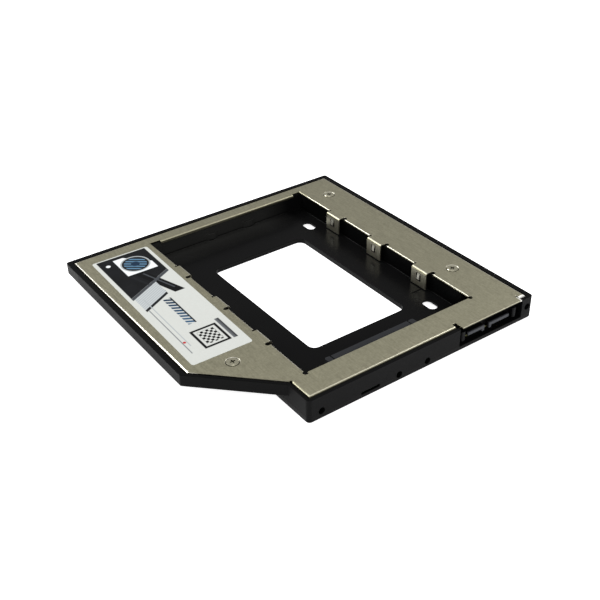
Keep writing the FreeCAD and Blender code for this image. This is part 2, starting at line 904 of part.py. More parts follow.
def make_receptacle(contacts):
    """Receptacle housing with its guide posts, keyed slots and the places of its contacts."""
    half = receptacle_body_width / 2
    back = receptacle_face_y + receptacle_depth
    body = block(receptacle_x - half, receptacle_face_y, receptacle_low_z, receptacle_x + half, back,
                 receptacle_high_z)
    foot = block(receptacle_x - half, board_front, board_top, receptacle_x + half, back, receptacle_low_z)
    shapes = [body, foot]
    for side in (-1, 1):
        x0 = receptacle_x + side * (half + receptacle_post_gap)
        x1 = x0 + side * receptacle_post
        post_front = receptacle_face_y - receptacle_post_reach
        post = block(min(x0, x1), post_front, receptacle_low_z, max(x0, x1), back, receptacle_high_z)
        tips = [e for e in post.Edges if e.BoundBox.YMax < post_front + tiny and e.BoundBox.ZLength > tiny]
        shapes.append(post.makeFillet(receptacle_post / 3, tips))
        x_in = x0 - side * receptacle_post_gap
        shapes.append(block(min(x_in, x1), board_front, board_top, max(x_in, x1), back, receptacle_low_z))
        shapes.append(block(min(x_in, x0), board_front, receptacle_low_z, max(x_in, x0), back,
                            receptacle_high_z))
    housing = joined(shapes)
    power_x, signal_x = receptacle_slots()
    z0 = receptacle_slot_z - keyed_slot_height / 2
    z1 = receptacle_slot_z + keyed_slot_height / 2
    deep = receptacle_face_y + keyed_slot_depth
    for middle, width, key_side in ((power_x, power_slot_width, -1), (signal_x, signal_slot_width, 1)):
        housing = housing.cut(block(middle - width / 2, receptacle_face_y - cut_past, z0,
                                    middle + width / 2, deep, z1))
        x0 = middle + key_side * width / 2
        x1 = x0 - key_side * keyed_slot_key
        housing = housing.cut(block(min(x0, x1), receptacle_face_y - cut_past, z0 - keyed_slot_key_drop,
                                    max(x0, x1), deep, z1))
    for contact in contacts:
        housing = housing.cut(contact)
    return housing.removeSplitter()


def plug_tongues():
    """Left edge and right edge of the power tongue and of the signal tongue."""
    power_right = plug_right - plug_post - tongue_post_gap
    power_left = power_right - power_tongue_width
    signal_right = power_left - tongue_gap
    return (power_left, power_right), (signal_right - signal_tongue_width, signal_right)


def plug_contact(x):
    """Flat contact under a tongue, with a tail down to the board."""
    low = tongue_low_z - contact_thickness / 2
    side = x - contact_width / 2
    tip = rear - tongue_tip - tongue_contact_setback
    y1 = plug_base_front_y - contact_tail
    points = [
        vector(side, tip, low),
        vector(side, tip, low + contact_thickness),
        vector(side, plug_base_front_y - contact_thickness, low + contact_thickness),
        vector(side, plug_base_front_y - contact_thickness, board_top + contact_thickness),
        vector(side, y1, board_top + contact_thickness),
        vector(side, y1, board_top),
        vector(side, plug_base_front_y, board_top),
        vector(side, plug_base_front_y, low),
    ]
    return extruded(points, vector(contact_width, 0, 0))


def make_host_contacts():
    """Power contacts and signal contacts of the plug, clear of the keys."""
    (power_left, power_right), (signal_left, signal_right) = plug_tongues()
    power_x = (power_left + tongue_key + power_right) / 2
    signal_x = (signal_left + signal_right - tongue_key) / 2
    power = [plug_contact(x) for x in contact_places(power_x, host_power_count, host_power_pitch)]
    signal = [plug_contact(x) for x in contact_places(signal_x, host_signal_count, contact_pitch)]
    return power, signal


def make_plug(contacts):
    """Plug housing: a base on the board, two guide posts and two keyed tongues."""
    tip = rear - tongue_tip
    base = block(plug_left, plug_base_front_y, board_top, plug_right, plug_base_rear_y, plug_high_z)
    shapes = [base]
    for x0 in (plug_left, plug_right - plug_post):
        post = block(x0, plug_base_front_y, board_top, x0 + plug_post, rear - plug_post_tip, plug_high_z)
        end_y = rear - plug_post_tip - tiny
        ends = [e for e in post.Edges if e.BoundBox.YMin > end_y and e.BoundBox.ZLength > tiny]
        shapes.append(post.makeFillet(plug_post / 3, ends))
    keys = []
    high_z = tongue_low_z + tongue_thickness
    (power_left, power_right), (signal_left, signal_right) = plug_tongues()
    for x0, x1 in ((power_left, power_right), (signal_left, signal_right)):
        shapes.append(block(x0, plug_base_rear_y, tongue_low_z, x1, tip, high_z))
    keys.append((power_left, power_left + tongue_key))
    keys.append((signal_right - tongue_key, signal_right))
    for x0, x1 in keys:
        shapes.append(block(x0, plug_base_rear_y, tongue_low_z - tongue_key_drop, x1, tip, tongue_low_z))
    housing = joined(shapes)
    for contact in contacts:
        housing = housing.cut(contact)
    return housing.removeSplitter()


def board_lock(x, y, side):
    """Bent solder clip beside a connector: a leg against its end and a foot on the board."""
    x_out = x + side * lock_thickness
    x_foot = x + side * (lock_thickness + lock_foot)
    leg = block(min(x, x_out), y, board_top, max(x, x_out), y + lock_width, board_top + lock_height)
    foot = block(min(x, x_foot), y, board_top, max(x, x_foot), y + lock_width, board_top + lock_thickness)
    return joined([leg, foot])


def make_drive_locks():
    """Solder clips at both ends of the receptacle."""
    reach = receptacle_body_width / 2 + receptacle_post_gap + receptacle_post
    y = board_front + lock_setback
    return [board_lock(receptacle_x + side * reach, y, side) for side in (-1, 1)]


def make_host_locks():
    """Solder clips at both ends of the plug."""
    y = plug_base_front_y + plug_lock_setback
    return [board_lock(plug_left, y, -1), board_lock(plug_right, y, 1)]


def make_capacitors():
    """Filter capacitors on the drive's supply."""
    y = board_rear - capacitor_edge
    starts = [receptacle_x + shift - capacitor_length / 2 for shift in capacitor_shifts]
    return [
        block(x, y - capacitor_width, board_top, x + capacitor_length, y, board_top + capacitor_height)
        for x in starts
    ]


def export(name, shapes):
    """One STEP file for a node of one solid or of several."""
    if isinstance(shapes, list):
        shape = Part.makeCompound([item.Solids[0] for item in shapes])
    else:
        shape = shapes.Solids[0]
        if len(shapes.Solids) != 1:
            raise ValueError(name + " has " + str(len(shapes.Solids)) + " solids")
    if not shape.isValid():
        raise ValueError(name + " isn't valid")
    shape.exportStep("parts/" + name + ".step")


def main():
    os.makedirs("parts", exist_ok=True)
    drive_power, drive_signal = make_drive_contacts()
    host_power, host_signal = make_host_contacts()
    export("frame", make_frame())
    export("top_cover", make_cover())
    export("cover_screws", make_cover_screws())
    export("label", make_label())
    export("adapter_board", make_board())
    export("board_screws", make_board_screws())
    export("board_capacitors", make_capacitors())
    export("drive_receptacle", make_receptacle(drive_power + drive_signal))
    export("drive_power_contacts", drive_power)
    export("drive_signal_contacts", drive_signal)
    export("drive_receptacle_locks", make_drive_locks())
    export("host_plug", make_plug(host_power + host_signal))
    export("host_power_contacts", host_power)
    export("host_signal_contacts", host_signal)
    export("host_plug_locks", make_host_locks())


main()
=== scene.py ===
"""Looks of the drive bay adapter: camera, soft studio light, pale floor and a finish for every node.

Metres, in the part's own frame: X across the width with the wing on +X, Y from front to rear, Z up.
"""
import bpy
import math
from mathutils import Matrix, Vector

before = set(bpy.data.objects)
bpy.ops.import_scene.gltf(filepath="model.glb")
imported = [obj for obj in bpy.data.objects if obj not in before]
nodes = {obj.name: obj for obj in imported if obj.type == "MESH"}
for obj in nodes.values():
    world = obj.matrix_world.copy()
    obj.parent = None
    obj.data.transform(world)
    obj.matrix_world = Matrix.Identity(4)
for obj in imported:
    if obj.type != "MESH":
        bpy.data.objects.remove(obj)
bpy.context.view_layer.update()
MM = 0.001

# Camera fitted to the photograph, in millimetres and pixels
CAMERA_PLACE = Vector((175.008, 251.817, 202.324)) * MM
CAMERA_RIGHT = Vector((-0.81536, 0.57860, -0.02022))
CAMERA_DOWN = Vector((0.32988, 0.43560, -0.83752))
FOCAL_PIXELS = 953.17
CENTRE_X = 288.75
CENTRE_Y = 293.69
PICTURE = 600
SENSOR = 36.0

# Lights that face the part: name, place, size and power. The sky is an even grey
LIGHTS = (
    ("overhead", (0.0, 0.0, 0.9), (0.9, 0.9), 2.0),
    ("behind", (0.38, -0.77, 0.715), (0.5, 0.36), 6.0),
    ("left", (-0.78, -0.06, 0.83), (0.30, 0.30), 2.6),
    ("fill", (0.35, 0.95, 0.60), (0.6, 0.6), 5.0),
)
SKY = 0.455
WHITE = (1.0, 1.0, 1.0)

# Floor of the studio: half its side, how far it lies below the part, and its own glow
STUDIO_HALF = 3.0
STUDIO_DROP = 0.00005
STUDIO_GLOW = 0.80

# Range in which most of a noise's values lie
NOISE_MIDDLE = (0.3, 0.7)

# Reflectance of moulded and laminated plastic
PLASTIC_IOR = 1.5

# Ramps of the masks, in millimetres along one axis: where each one starts and where it is full.
# Frame: top of the tray's floor and the sides of its hollow, whose inner walls are darkened with painted
# shade
FLOOR_TOP = (2.2, 2.0)
HOLLOW_SIDES = (61.4, 61.2)
HOLLOW_REAR = (61.3, 61.1)
HOLLOW_FRONT = (-52.0, -51.0)
HOLLOW_STEP = (36.5, 36.3)
HOLLOW_FOOT = (1.1, 1.3)

# Frame: painted light on the inner face of the front wall and the floor next to it, and where both turn dark
# on the left
WALL_INSIDE = (-52.0, -52.4)
WALL_OUTSIDE = (-62.4, -62.0)
WALL_FOOT = (2.3, 2.7)
WALL_HEAD = (9.0, 8.8)
APRON = (-44.0, -53.0)
APRON_FOOT = (1.2, 1.4)
PAINTED_LIGHT_SIDE = (-38.0, -24.0)

# Cover: folds past the step to the wing and at the left, the rear fold, and the window's reach along Y
PAST_STEP = (36.6, 37.0)
PAST_LEFT = (-57.0, -57.4)
REAR_FOLD = (58.0, 59.0)
REAR_SHARE = 0.35
WINDOW_FRONT = (-51.0, -50.0)
WINDOW_REAR = (51.0, 50.0)

# Cover: heights between which its edges are burnished and given a painted highlight, the lower one for the
# window and for the outer folds
BURNISH_HIGHLIGHT_HEAD = (9.59, 9.57)
BURNISH_HIGHLIGHT_FOOT = (9.42, 8.95)
BURNISH_HIGHLIGHT_RISE = 0.1

# Cover: painted shade on the foot of the outer folds, its top in general and by the step, and the sides of
# its border
SHADE_TOP = (9.42, 9.22)
SHADE_DEPTH = 0.18
STEP_END = (50.0, 49.0)
BORDER_REAR = (52.0, 52.5)
BORDER_FRONT = (-54.0, -54.5)
BORDER_WING = (31.0, 31.5)
BORDER_LEFT = (-57.0, -57.5)

# Cover: the left tabs, where they repeat along Y, and their fingers and slits by half width and height; the
# tabs and fingers carry painted light, the slits painted shade
TAB_LEFT = (-43.3, -43.2)
TAB_RIGHT = (-41.8, -41.9)
TAB_HEAD = (8.7, 8.5)
TAB_MIDDLE = -29.5
TAB_HALF_PITCH = 13.55
FINGER_HALF = (0.72, 0.66)
FINGER_FOOT = (5.2, 5.3)
SLIT_HALF = (1.4, 1.2)
SLIT_FOOT = (4.4, 4.7)
SLIT_HEAD = (8.0, 7.7)

# Cover: painted highlight on the bar at its rear left corner
CORNER_LEFT = (-57.4, -57.9)
CORNER_REAR = (60.5, 60.6)

# Cover's screws: where they are, the painted shade in the gap round each head and on the head's flank, and
# the height that tells them from the board's screws
SCREWS = ((-53.3, -46.0), (-53.3, 31.8), (46.2, 31.1))
SCREW_GAP = (2.50, 2.40)
SCREW_FLANK = (9.56, 9.50)
SCREW_ABOVE_BOARD = (5.0, 5.2)
GAP_SHADE = (0.02, 0.018, 0.012)

# Connectors: front of the plug's tongues, which carry painted light, and where the receptacle starts
TONGUE_FRONT = (61.1, 61.5)
TONGUE_TOP = (5.2, 5.1)
TONGUE_LEFT = (-53.5, -53.4)
TONGUE_RIGHT = (-32.8, -32.9)
RECEPTACLE_REAR = (56.0, 55.0)
RECEPTACLE_SHARE = 0.42

# Contacts' tails, board's tracks, cut edge and tongue, whose near black is painted shade, and capacitors'
# ends
TAIL = (3.3, 2.8)
TRACK_HALF_PITCH = 0.45
TRACK_GAP = (0.20, 0.26)
BOARD_EDGE = (2.66, 2.62)
BOARD_TONGUE = (61.0, 61.2)
CAPACITOR_FIRST = -2.0
CAPACITOR_PITCH = 4.0
CAPACITOR_END = (1.05, 1.15)

# Label on the wing, as it lies on the cover: middle, turn in degrees, rise of its slanted bands and softness
# of its print's edges
LABEL_CENTRE = (45.4, -14.8)
LABEL_TURN = 1.05
BAND_RISE = 0.55
PRINT_SOFT = 0.12
STRIPE_SOFT = 0.1

# Rounded edges in millimetres. The cover has the full width only on its window's sides and half of it on its
# slant, a line at this distance from the middle. The rest has the fine share, and a relief by the step none
ROUNDING = {
    "frame": 0.15,
    "top_cover": 0.40,
    "cover_screws": 0.0,
    "board_screws": 0.0,
    "label": 0.0,
    "adapter_board": 0.05,
    "board_capacitors": 0.10,
    "drive_receptacle": 0.08,
    "host_plug": 0.06,
    "drive_power_contacts": 0.0,
    "drive_signal_contacts": 0.0,
    "host_power_contacts": 0.0,
    "host_signal_contacts": 0.0,
    "drive_receptacle_locks": 0.03,
    "host_plug_locks": 0.03,
}
COVER_TOP = 9.6
WINDOW_SIDES = (-44.4, 30.2)
SLANT_LINE = 62.457
SLANT_SHARE = 0.5
FINE_SHARE = 0.15
STEP_RELIEF = (36.8, 52.4)
STEP_RELIEF_REACH = 2.0
LINE_SLACK = 0.05

# Shading and rounding: distance of vertices that are one, angles in degrees, and how much large faces count
WELD_DISTANCE = 1e-6
SMOOTH_BELOW = 28.0
FLAT_BELOW = 0.5
ROUND_ABOVE = 40.0
NORMAL_WEIGHT = 80


def make_camera():
    data = bpy.data.cameras.new("camera")
    data.sensor_fit = "HORIZONTAL"
    data.sensor_width = SENSOR
    data.lens = FOCAL_PIXELS * SENSOR / PICTURE
    data.shift_x = (PICTURE / 2 - CENTRE_X) / PICTURE
    data.shift_y = (CENTRE_Y - PICTURE / 2) / PICTURE
    data.clip_start = 0.01
    camera = bpy.data.objects.new("camera", data)
    right = CAMERA_RIGHT.normalized()
    up = -(CAMERA_DOWN - CAMERA_DOWN.dot(right) * right).normalized()
    back = right.cross(up)
    turn = Matrix((right, up, back)).transposed()
    camera.matrix_world = Matrix.Translation(CAMERA_PLACE) @ turn.to_4x4()
    bpy.context.scene.collection.objects.link(camera)
    bpy.context.scene.camera = camera


def area_light(name, place, size, power):
    """Soft light that faces the middle of the part."""
    data = bpy.data.lights.new(name, "AREA")
    data.shape = "RECTANGLE"
    data.size = size[0]
    data.size_y = size[1]
    data.energy = power
    data.color = WHITE
    light = bpy.data.objects.new(name, data)
    light.location = place
    towards = Vector((0.0, 0.0, 0.0)) - Vector(place)
    light.rotation_euler = towards.to_track_quat("-Z", "Y").to_euler()
    bpy.context.scene.collection.objects.link(light)


def make_light():
    """Even grey all round, with soft lights overhead, past the front, at the left and by the camera."""
    world = bpy.data.worlds.new("studio")
    world.use_nodes = True
    sky = world.node_tree.nodes["Background"]
    sky.inputs["Color"].default_value = (SKY, SKY, SKY, 1.0)
    bpy.context.scene.world = world
    for name, place, size, power in LIGHTS:
        area_light(name, place, size, power)


class Finish:
    """One node-based material, with short calls for the nodes it is made of."""

    def __init__(self, name):
        self.material = bpy.data.materials.new(name)
        self.material.use_nodes = True
        self.tree = self.material.node_tree
        self.shader = self.tree.nodes["Principled BSDF"]
        self.place = self.add("ShaderNodeTexCoord").outputs["Object"]

    def add(self, kind):
        return self.tree.nodes.new(kind)

    def feed(self, socket, value):
        """Links a socket to a socket, or writes a number or a colour into it."""
        if isinstance(value, bpy.types.NodeSocket):
            self.tree.links.new(value, socket)
        elif isinstance(value, tuple) and len(value) == 3 and socket.type == "RGBA":
            socket.default_value = value + (1.0,)
        else:
            socket.default_value = value

    def set(self, **values):
        """Inputs of the Principled shader, named with underscores for spaces."""
        for name, value in values.items():
            self.feed(self.shader.inputs[name.replace("_", " ")], value)

    def math(self, operation, first, second=0.0, clamp=False):
        node = self.add("ShaderNodeMath")
        node.operation = operation
        node.use_clamp = clamp
        for socket, value in zip(node.inputs, (first, second)):
            self.feed(socket, value)
        return node.outputs[0]

    def axes(self):
        """The object's place as three numbers."""
        node = self.add("ShaderNodeSeparateXYZ")
        self.feed(node.inputs[0], self.place)
        return node.outputs[0], node.outputs[1], node.outputs[2]

    def scaled(self, factors):
        """The object's place, stretched along each axis."""
        node = self.add("ShaderNodeVectorMath")
        node.operation = "MULTIPLY"
        self.feed(node.inputs[0], self.place)
        node.inputs[1].default_value = factors
        return node.outputs[0]

    def noise(self, scale, detail=2.0, source=None):
        """Noise from 0 to 1 with about this many grains to the metre."""
        node = self.add("ShaderNodeTexNoise")
        self.feed(node.inputs["Vector"], source or self.place)
        node.inputs["Scale"].default_value = scale
        node.inputs["Detail"].default_value = detail
        return node.outputs["Fac"]

    def span(self, value, low, high, to_low, to_high):
        """A value mapped from one range to another, held at its ends."""
        node = self.add("ShaderNodeMapRange")
        self.feed(node.inputs["Value"], value)
        for name, number in zip(("From Min", "From Max", "To Min", "To Max"), (low, high, to_low, to_high)):
            self.feed(node.inputs[name], number)
        return node.outputs["Result"]

    def ramp(self, value, ends, full=1.0):
        """A mask from 0 where the ramp starts to full where it ends, both in millimetres."""
        return self.span(value, ends[0] * MM, ends[1] * MM, 0.0, full)

    def vary(self, noise, first, second):
        """A number that follows the noise."""
        return self.span(noise, NOISE_MIDDLE[0], NOISE_MIDDLE[1], first, second)

    def mix(self, factor, first, second):
        """A colour that goes from the first to the second with the factor."""
        node = self.add("ShaderNodeMix")
        node.data_type = "RGBA"
        self.feed(node.inputs["Factor"], factor)
        self.feed(node.inputs[6], first)
        self.feed(node.inputs[7], second)
        return node.outputs[2]

    def mix_number(self, factor, first, second):
        """A number that goes from the first to the second with the factor."""
        return self.span(factor, 0.0, 1.0, first, second)

    def both(self, *masks):
        """1 where every mask is 1."""
        result = masks[0]
        for mask in masks[1:]:
            result = self.math("MULTIPLY", result, mask)
        return result

    def either(self, *masks):
        """1 where any mask is 1."""
        result = masks[0]
        for mask in masks[1:]:
            result = self.math("MAXIMUM", result, mask)
        return result

    def without(self, mask, hole):
        """1 where the mask is 1 and the hole is 0."""
        return self.both(mask, self.math("SUBTRACT", 1.0, hole))

    def distance(self, x, y, place):
        """How far two coordinates are from a place."""
        across = self.math("SUBTRACT", x, place[0])
        along = self.math("SUBTRACT", y, place[1])
        squares = self.math("ADD", self.math("MULTIPLY", across, across), self.math("MULTIPLY", along, along))
        return self.math("SQRT", squares)

    def bump(self, height, distance, strength):
        node = self.add("ShaderNodeBump")
        self.feed(node.inputs["Height"], height)
        node.inputs["Distance"].default_value = distance
        node.inputs["Strength"].default_value = strength
        self.feed(self.shader.inputs["Normal"], node.outputs["Normal"])

    def use(self, *names):
        for name in names:
            mesh = nodes[name].data
            mesh.materials.clear()
            mesh.materials.append(self.material)


def frame_plastic():
    """Black moulded plastic: matt outer walls, a glossier floor, inner walls darkened with painted shade, and
    a paler inner face of the front wall and floor beside it, which is painted light.
    """
    finish = Finish("black_moulding")
    x, y, z = finish.axes()
    grain = finish.noise(5200.0, 2.0)
    clouds = finish.noise(55.0, 3.0)
    floor = finish.ramp(z, FLOOR_TOP)
    inner = finish.both(
        finish.ramp(finish.math("ABSOLUTE", x), HOLLOW_SIDES),
        finish.ramp(y, HOLLOW_REAR),
        finish.ramp(y, HOLLOW_FRONT),
        finish.ramp(x, HOLLOW_STEP),
        finish.ramp(z, HOLLOW_FOOT),
    )
    # Painted light: the inner face of the front wall and the floor beside it are made paler
    wall = finish.both(
        finish.ramp(y, WALL_INSIDE),
        finish.ramp(y, WALL_OUTSIDE),
        finish.ramp(z, WALL_FOOT),
        finish.ramp(z, WALL_HEAD),
    )
    apron = finish.both(
        floor,
        finish.ramp(y, APRON),
        finish.ramp(z, APRON_FOOT),
        finish.ramp(x, HOLLOW_STEP),
    )
    front = finish.both(finish.math("ADD", wall, apron, clamp=True), finish.ramp(x, PAINTED_LIGHT_SIDE))
    # Tones: outer walls, inner walls darkened with painted shade, the floor, and the painted light on the
    # front wall
    outside = finish.mix(clouds, (0.0018, 0.0018, 0.0019), (0.0032, 0.0032, 0.0033))
    inside = finish.mix(clouds, (0.0010, 0.0010, 0.0010), (0.0022, 0.0022, 0.0022))
    lying = finish.mix(clouds, (0.0028, 0.0028, 0.0029), (0.0048, 0.0048, 0.0049))
    pale = finish.mix(clouds, (0.016, 0.016, 0.015), (0.022, 0.022, 0.021))
    level = finish.mix(inner, outside, finish.mix(floor, inside, lying))
    level = finish.mix(front, level, pale)
    rough = finish.math("ADD", finish.mix_number(floor, 0.46, 0.24), finish.vary(clouds, -0.03, 0.05))
    finish.set(Base_Color=level, Roughness=rough, IOR=PLASTIC_IOR, Specular_IOR_Level=0.045)
    finish.bump(grain, 0.000012, 0.6)
    finish.use("frame")


def cover_metal():
    """Nickel-plated sheet with a faint rolled grain and a warm grey cast, burnished over its edges, where a
    brighter colour is a painted highlight; painted light on the tabs and painted shade at the slits, fold
    feet and screws.
    """
    finish = Finish("nickel_sheet")
    x, y, z = finish.axes()
    speckle = finish.noise(1500.0, 3.0)
    rolled = finish.noise(1.0, 2.0, finish.scaled((2600.0, 160.0, 2600.0)))
    clouds = finish.noise(30.0, 2.0)
    tone = finish.math("ADD", finish.math("MULTIPLY", speckle, 0.5), finish.math("MULTIPLY", rolled, 0.5))
    warm = finish.mix(finish.span(tone, 0.35, 0.65, 0.0, 1.0), (0.325, 0.308, 0.217), (0.445, 0.424, 0.304))
    colour = finish.mix(finish.span(clouds, 0.35, 0.65, 0.0, 0.25), warm, (0.335, 0.318, 0.226))

    # Burnished edges of the outer folds and the window: smoother, with a brighter colour that is a painted
    # highlight
    past_step = finish.ramp(x, PAST_STEP)
    outer = finish.either(past_step, finish.ramp(x, PAST_LEFT))
    window = finish.both(finish.ramp(y, WINDOW_FRONT), finish.ramp(y, WINDOW_REAR))
    share = finish.either(outer, finish.ramp(y, REAR_FOLD, REAR_SHARE), window)
    foot = finish.mix_number(outer, BURNISH_HIGHLIGHT_FOOT[0] * MM, BURNISH_HIGHLIGHT_FOOT[1] * MM)
    edge = finish.both(
        finish.ramp(z, BURNISH_HIGHLIGHT_HEAD),
        finish.ramp(finish.math("SUBTRACT", z, foot), (0.0, BURNISH_HIGHLIGHT_RISE)),
        share,
    )

    # Painted shade in the gap round each screw's head
    gap_painted_shade = 0.0
    for place in SCREWS:
        distance = finish.distance(x, y, (place[0] * MM, place[1] * MM))
        gap_painted_shade = finish.math("ADD", finish.ramp(distance, SCREW_GAP), gap_painted_shade, clamp=True)

    # Tabs on the left, made lighter with painted light, with a brighter painted light on each finger and
    # painted shade beside its slits
    tab_painted_light = finish.both(finish.ramp(x, TAB_LEFT), finish.ramp(x, TAB_RIGHT), finish.ramp(z, TAB_HEAD))
    from_middle = finish.math("PINGPONG", finish.math("SUBTRACT", y, TAB_MIDDLE * MM), TAB_HALF_PITCH * MM)
    head = finish.ramp(z, SLIT_HEAD)
    finger_painted_light = finish.both(tab_painted_light, finish.ramp(from_middle, FINGER_HALF), finish.ramp(z, FINGER_FOOT), head)
    slit_painted_shade = finish.both(
        finish.without(tab_painted_light, finger_painted_light),
        finish.ramp(from_middle, SLIT_HALF),
        finish.ramp(z, SLIT_FOOT),
        head,
    )

    # Painted shade on the foot of the folds round the cover's border, and a painted highlight on the rear
    # left corner
    corner = finish.both(finish.ramp(x, CORNER_LEFT), finish.ramp(y, CORNER_REAR))
    border = finish.either(
        finish.ramp(y, BORDER_REAR),
        finish.ramp(y, BORDER_FRONT),
        finish.ramp(x, BORDER_WING),
        finish.ramp(x, BORDER_LEFT),
    )
    step = finish.both(finish.ramp(x, STEP_END), past_step)
    start = finish.mix_number(step, SHADE_TOP[0] * MM, SHADE_TOP[1] * MM)
    below = finish.both(border, finish.ramp(finish.math("SUBTRACT", start, z), (0.0, SHADE_DEPTH)))

    # Painted highlight on the burnished edges and the corner, painted light on the tabs and fingers, painted
    # shade at the slits, fold feet and screw gaps
    colour = finish.mix(edge, colour, (0.66, 0.64, 0.56))
    colour = finish.mix(tab_painted_light, colour, (0.52, 0.50, 0.39))
    colour = finish.mix(finger_painted_light, colour, (0.90, 0.88, 0.76))
    colour = finish.mix(slit_painted_shade, colour, (0.05, 0.047, 0.035))
    colour = finish.mix(below, colour, (0.06, 0.056, 0.04))
    colour = finish.mix(corner, colour, (0.98, 0.97, 0.92))
    colour = finish.mix(gap_painted_shade, colour, GAP_SHADE)
    rough = finish.mix_number(edge, finish.vary(tone, 0.34, 0.44), 0.33)
    rough = finish.mix_number(corner, rough, 0.55)
    finish.set(Base_Color=colour, Metallic=1.0, Roughness=rough)
    finish.bump(tone, 0.000010, 0.5)
    finish.use("top_cover")


def screw_metal():
    """Plated screws in the cover's tone, with painted shade on the flank of those of the cover."""
    finish = Finish("plated_screw")
    z = finish.axes()[2]
    grain = finish.noise(4200.0, 3.0)
    plate = finish.mix(grain, (0.46, 0.44, 0.32), (0.58, 0.55, 0.42))
    # Painted shade on the flank of the cover's screws
    flank = finish.both(finish.ramp(z, SCREW_FLANK), finish.ramp(z, SCREW_ABOVE_BOARD))
    colour = finish.mix(flank, plate, GAP_SHADE)
    finish.set(Base_Color=colour, Metallic=1.0, Roughness=finish.vary(grain, 0.22, 0.32))
    finish.bump(grain, 0.000015, 0.5)
    finish.use("cover_screws", "board_screws")


def connector_plastic():
    """Dark glass-filled nylon of the two connectors, greyer on the receptacle, with painted light on the
    front of the plug's tongues.
    """
    finish = Finish("connector_nylon")
    x, y, z = finish.axes()
    grain = finish.noise(6000.0, 3.0)
    flow = finish.noise(1.0, 2.0, finish.scaled((240.0, 900.0, 240.0)))
    dark = finish.mix(flow, (0.0010, 0.0010, 0.0011), (0.0020, 0.0020, 0.0022))
    grey = finish.mix(flow, (0.044, 0.046, 0.051), (0.060, 0.062, 0.069))
    # Painted light on the front of the plug's tongues
    tongue_painted_light = finish.both(
        finish.ramp(y, TONGUE_FRONT),
        finish.ramp(z, TONGUE_TOP),
        finish.ramp(x, TONGUE_LEFT),
        finish.ramp(x, TONGUE_RIGHT),
    )
    receptacle = finish.ramp(y, RECEPTACLE_REAR, RECEPTACLE_SHARE)
    colour = finish.mix(finish.either(tongue_painted_light, receptacle), dark, grey)
    rough = finish.vary(grain, 0.36, 0.5)
    finish.set(Base_Color=colour, Roughness=rough, IOR=PLASTIC_IOR, Specular_IOR_Level=0.08)
    finish.bump(grain, 0.00001, 0.5)
    finish.use("drive_receptacle", "host_plug")


def contact_metal():
    """Gold-plated contacts, tinned at their tails."""
    finish = Finish("gold_contact")
    grain = finish.noise(5000.0, 2.0)
    z = finish.axes()[2]
    gold = finish.mix(grain, (0.78, 0.52, 0.20), (0.92, 0.66, 0.30))
    colour = finish.mix(finish.ramp(z, TAIL), gold, (0.62, 0.61, 0.58))
    finish.set(Base_Color=colour, Metallic=1.0, Roughness=finish.vary(grain, 0.18, 0.32))
    finish.use("drive_power_contacts", "drive_signal_contacts", "host_power_contacts", "host_signal_contacts")


def tinned_metal():
    """Tinned clips with a soft, slightly crystalline lustre."""
    finish = Finish("tinned_clip")
    grain = finish.noise(3000.0, 4.0)
    colour = finish.mix(grain, (0.55, 0.55, 0.54), (0.75, 0.75, 0.73))
    finish.set(Base_Color=colour, Metallic=1.0, Roughness=finish.vary(grain, 0.28, 0.5))
    finish.bump(grain, 0.00001, 0.4)
    finish.use("drive_receptacle_locks", "host_plug_locks")


def board_finish():
    """Dark green solder mask over faint copper tracks, pale where the glass fibre shows at the cut edge, and
    nearly black on the tongue with painted shade.
    """
    finish = Finish("circuit_board")
    y, z = finish.axes()[1:]
    tracks = finish.ramp(finish.math("PINGPONG", y, TRACK_HALF_PITCH * MM), TRACK_GAP)
    blocks = finish.span(finish.noise(180.0, 1.0), 0.48, 0.52, 0.0, 1.0)
    copper = finish.both(tracks, blocks)
    mask = finish.mix(copper, (0.004, 0.022, 0.010), (0.010, 0.050, 0.022))
    weave = finish.noise(3500.0, 2.0)
    fibre = finish.mix(weave, (0.10, 0.10, 0.045), (0.16, 0.155, 0.075))
    colour = finish.mix(finish.ramp(z, BOARD_EDGE), mask, fibre)
    # Painted shade on the board's tongue where it sits in the plug
    colour = finish.mix(finish.ramp(y, BOARD_TONGUE), colour, (0.003, 0.004, 0.003))
    finish.set(Base_Color=colour, Roughness=finish.vary(weave, 0.24, 0.36), IOR=PLASTIC_IOR)
    finish.bump(copper, 0.00003, 0.7)
    finish.use("adapter_board")


def capacitor_body():
    """Tan ceramic chips with tinned ends."""
    finish = Finish("ceramic_chip")
    x = finish.axes()[0]
    inside = finish.math("PINGPONG", finish.math("SUBTRACT", x, CAPACITOR_FIRST * MM), CAPACITOR_PITCH * MM)
    ends = finish.ramp(inside, CAPACITOR_END)
    grain = finish.noise(4000.0, 3.0)
    body = finish.mix(grain, (0.30, 0.19, 0.10), (0.38, 0.26, 0.15))
    colour = finish.mix(ends, body, (0.68, 0.67, 0.64))
    finish.set(Base_Color=colour, Metallic=ends, Roughness=finish.vary(grain, 0.38, 0.55))
    finish.bump(grain, 0.00001, 0.4)
    finish.use("board_capacitors")


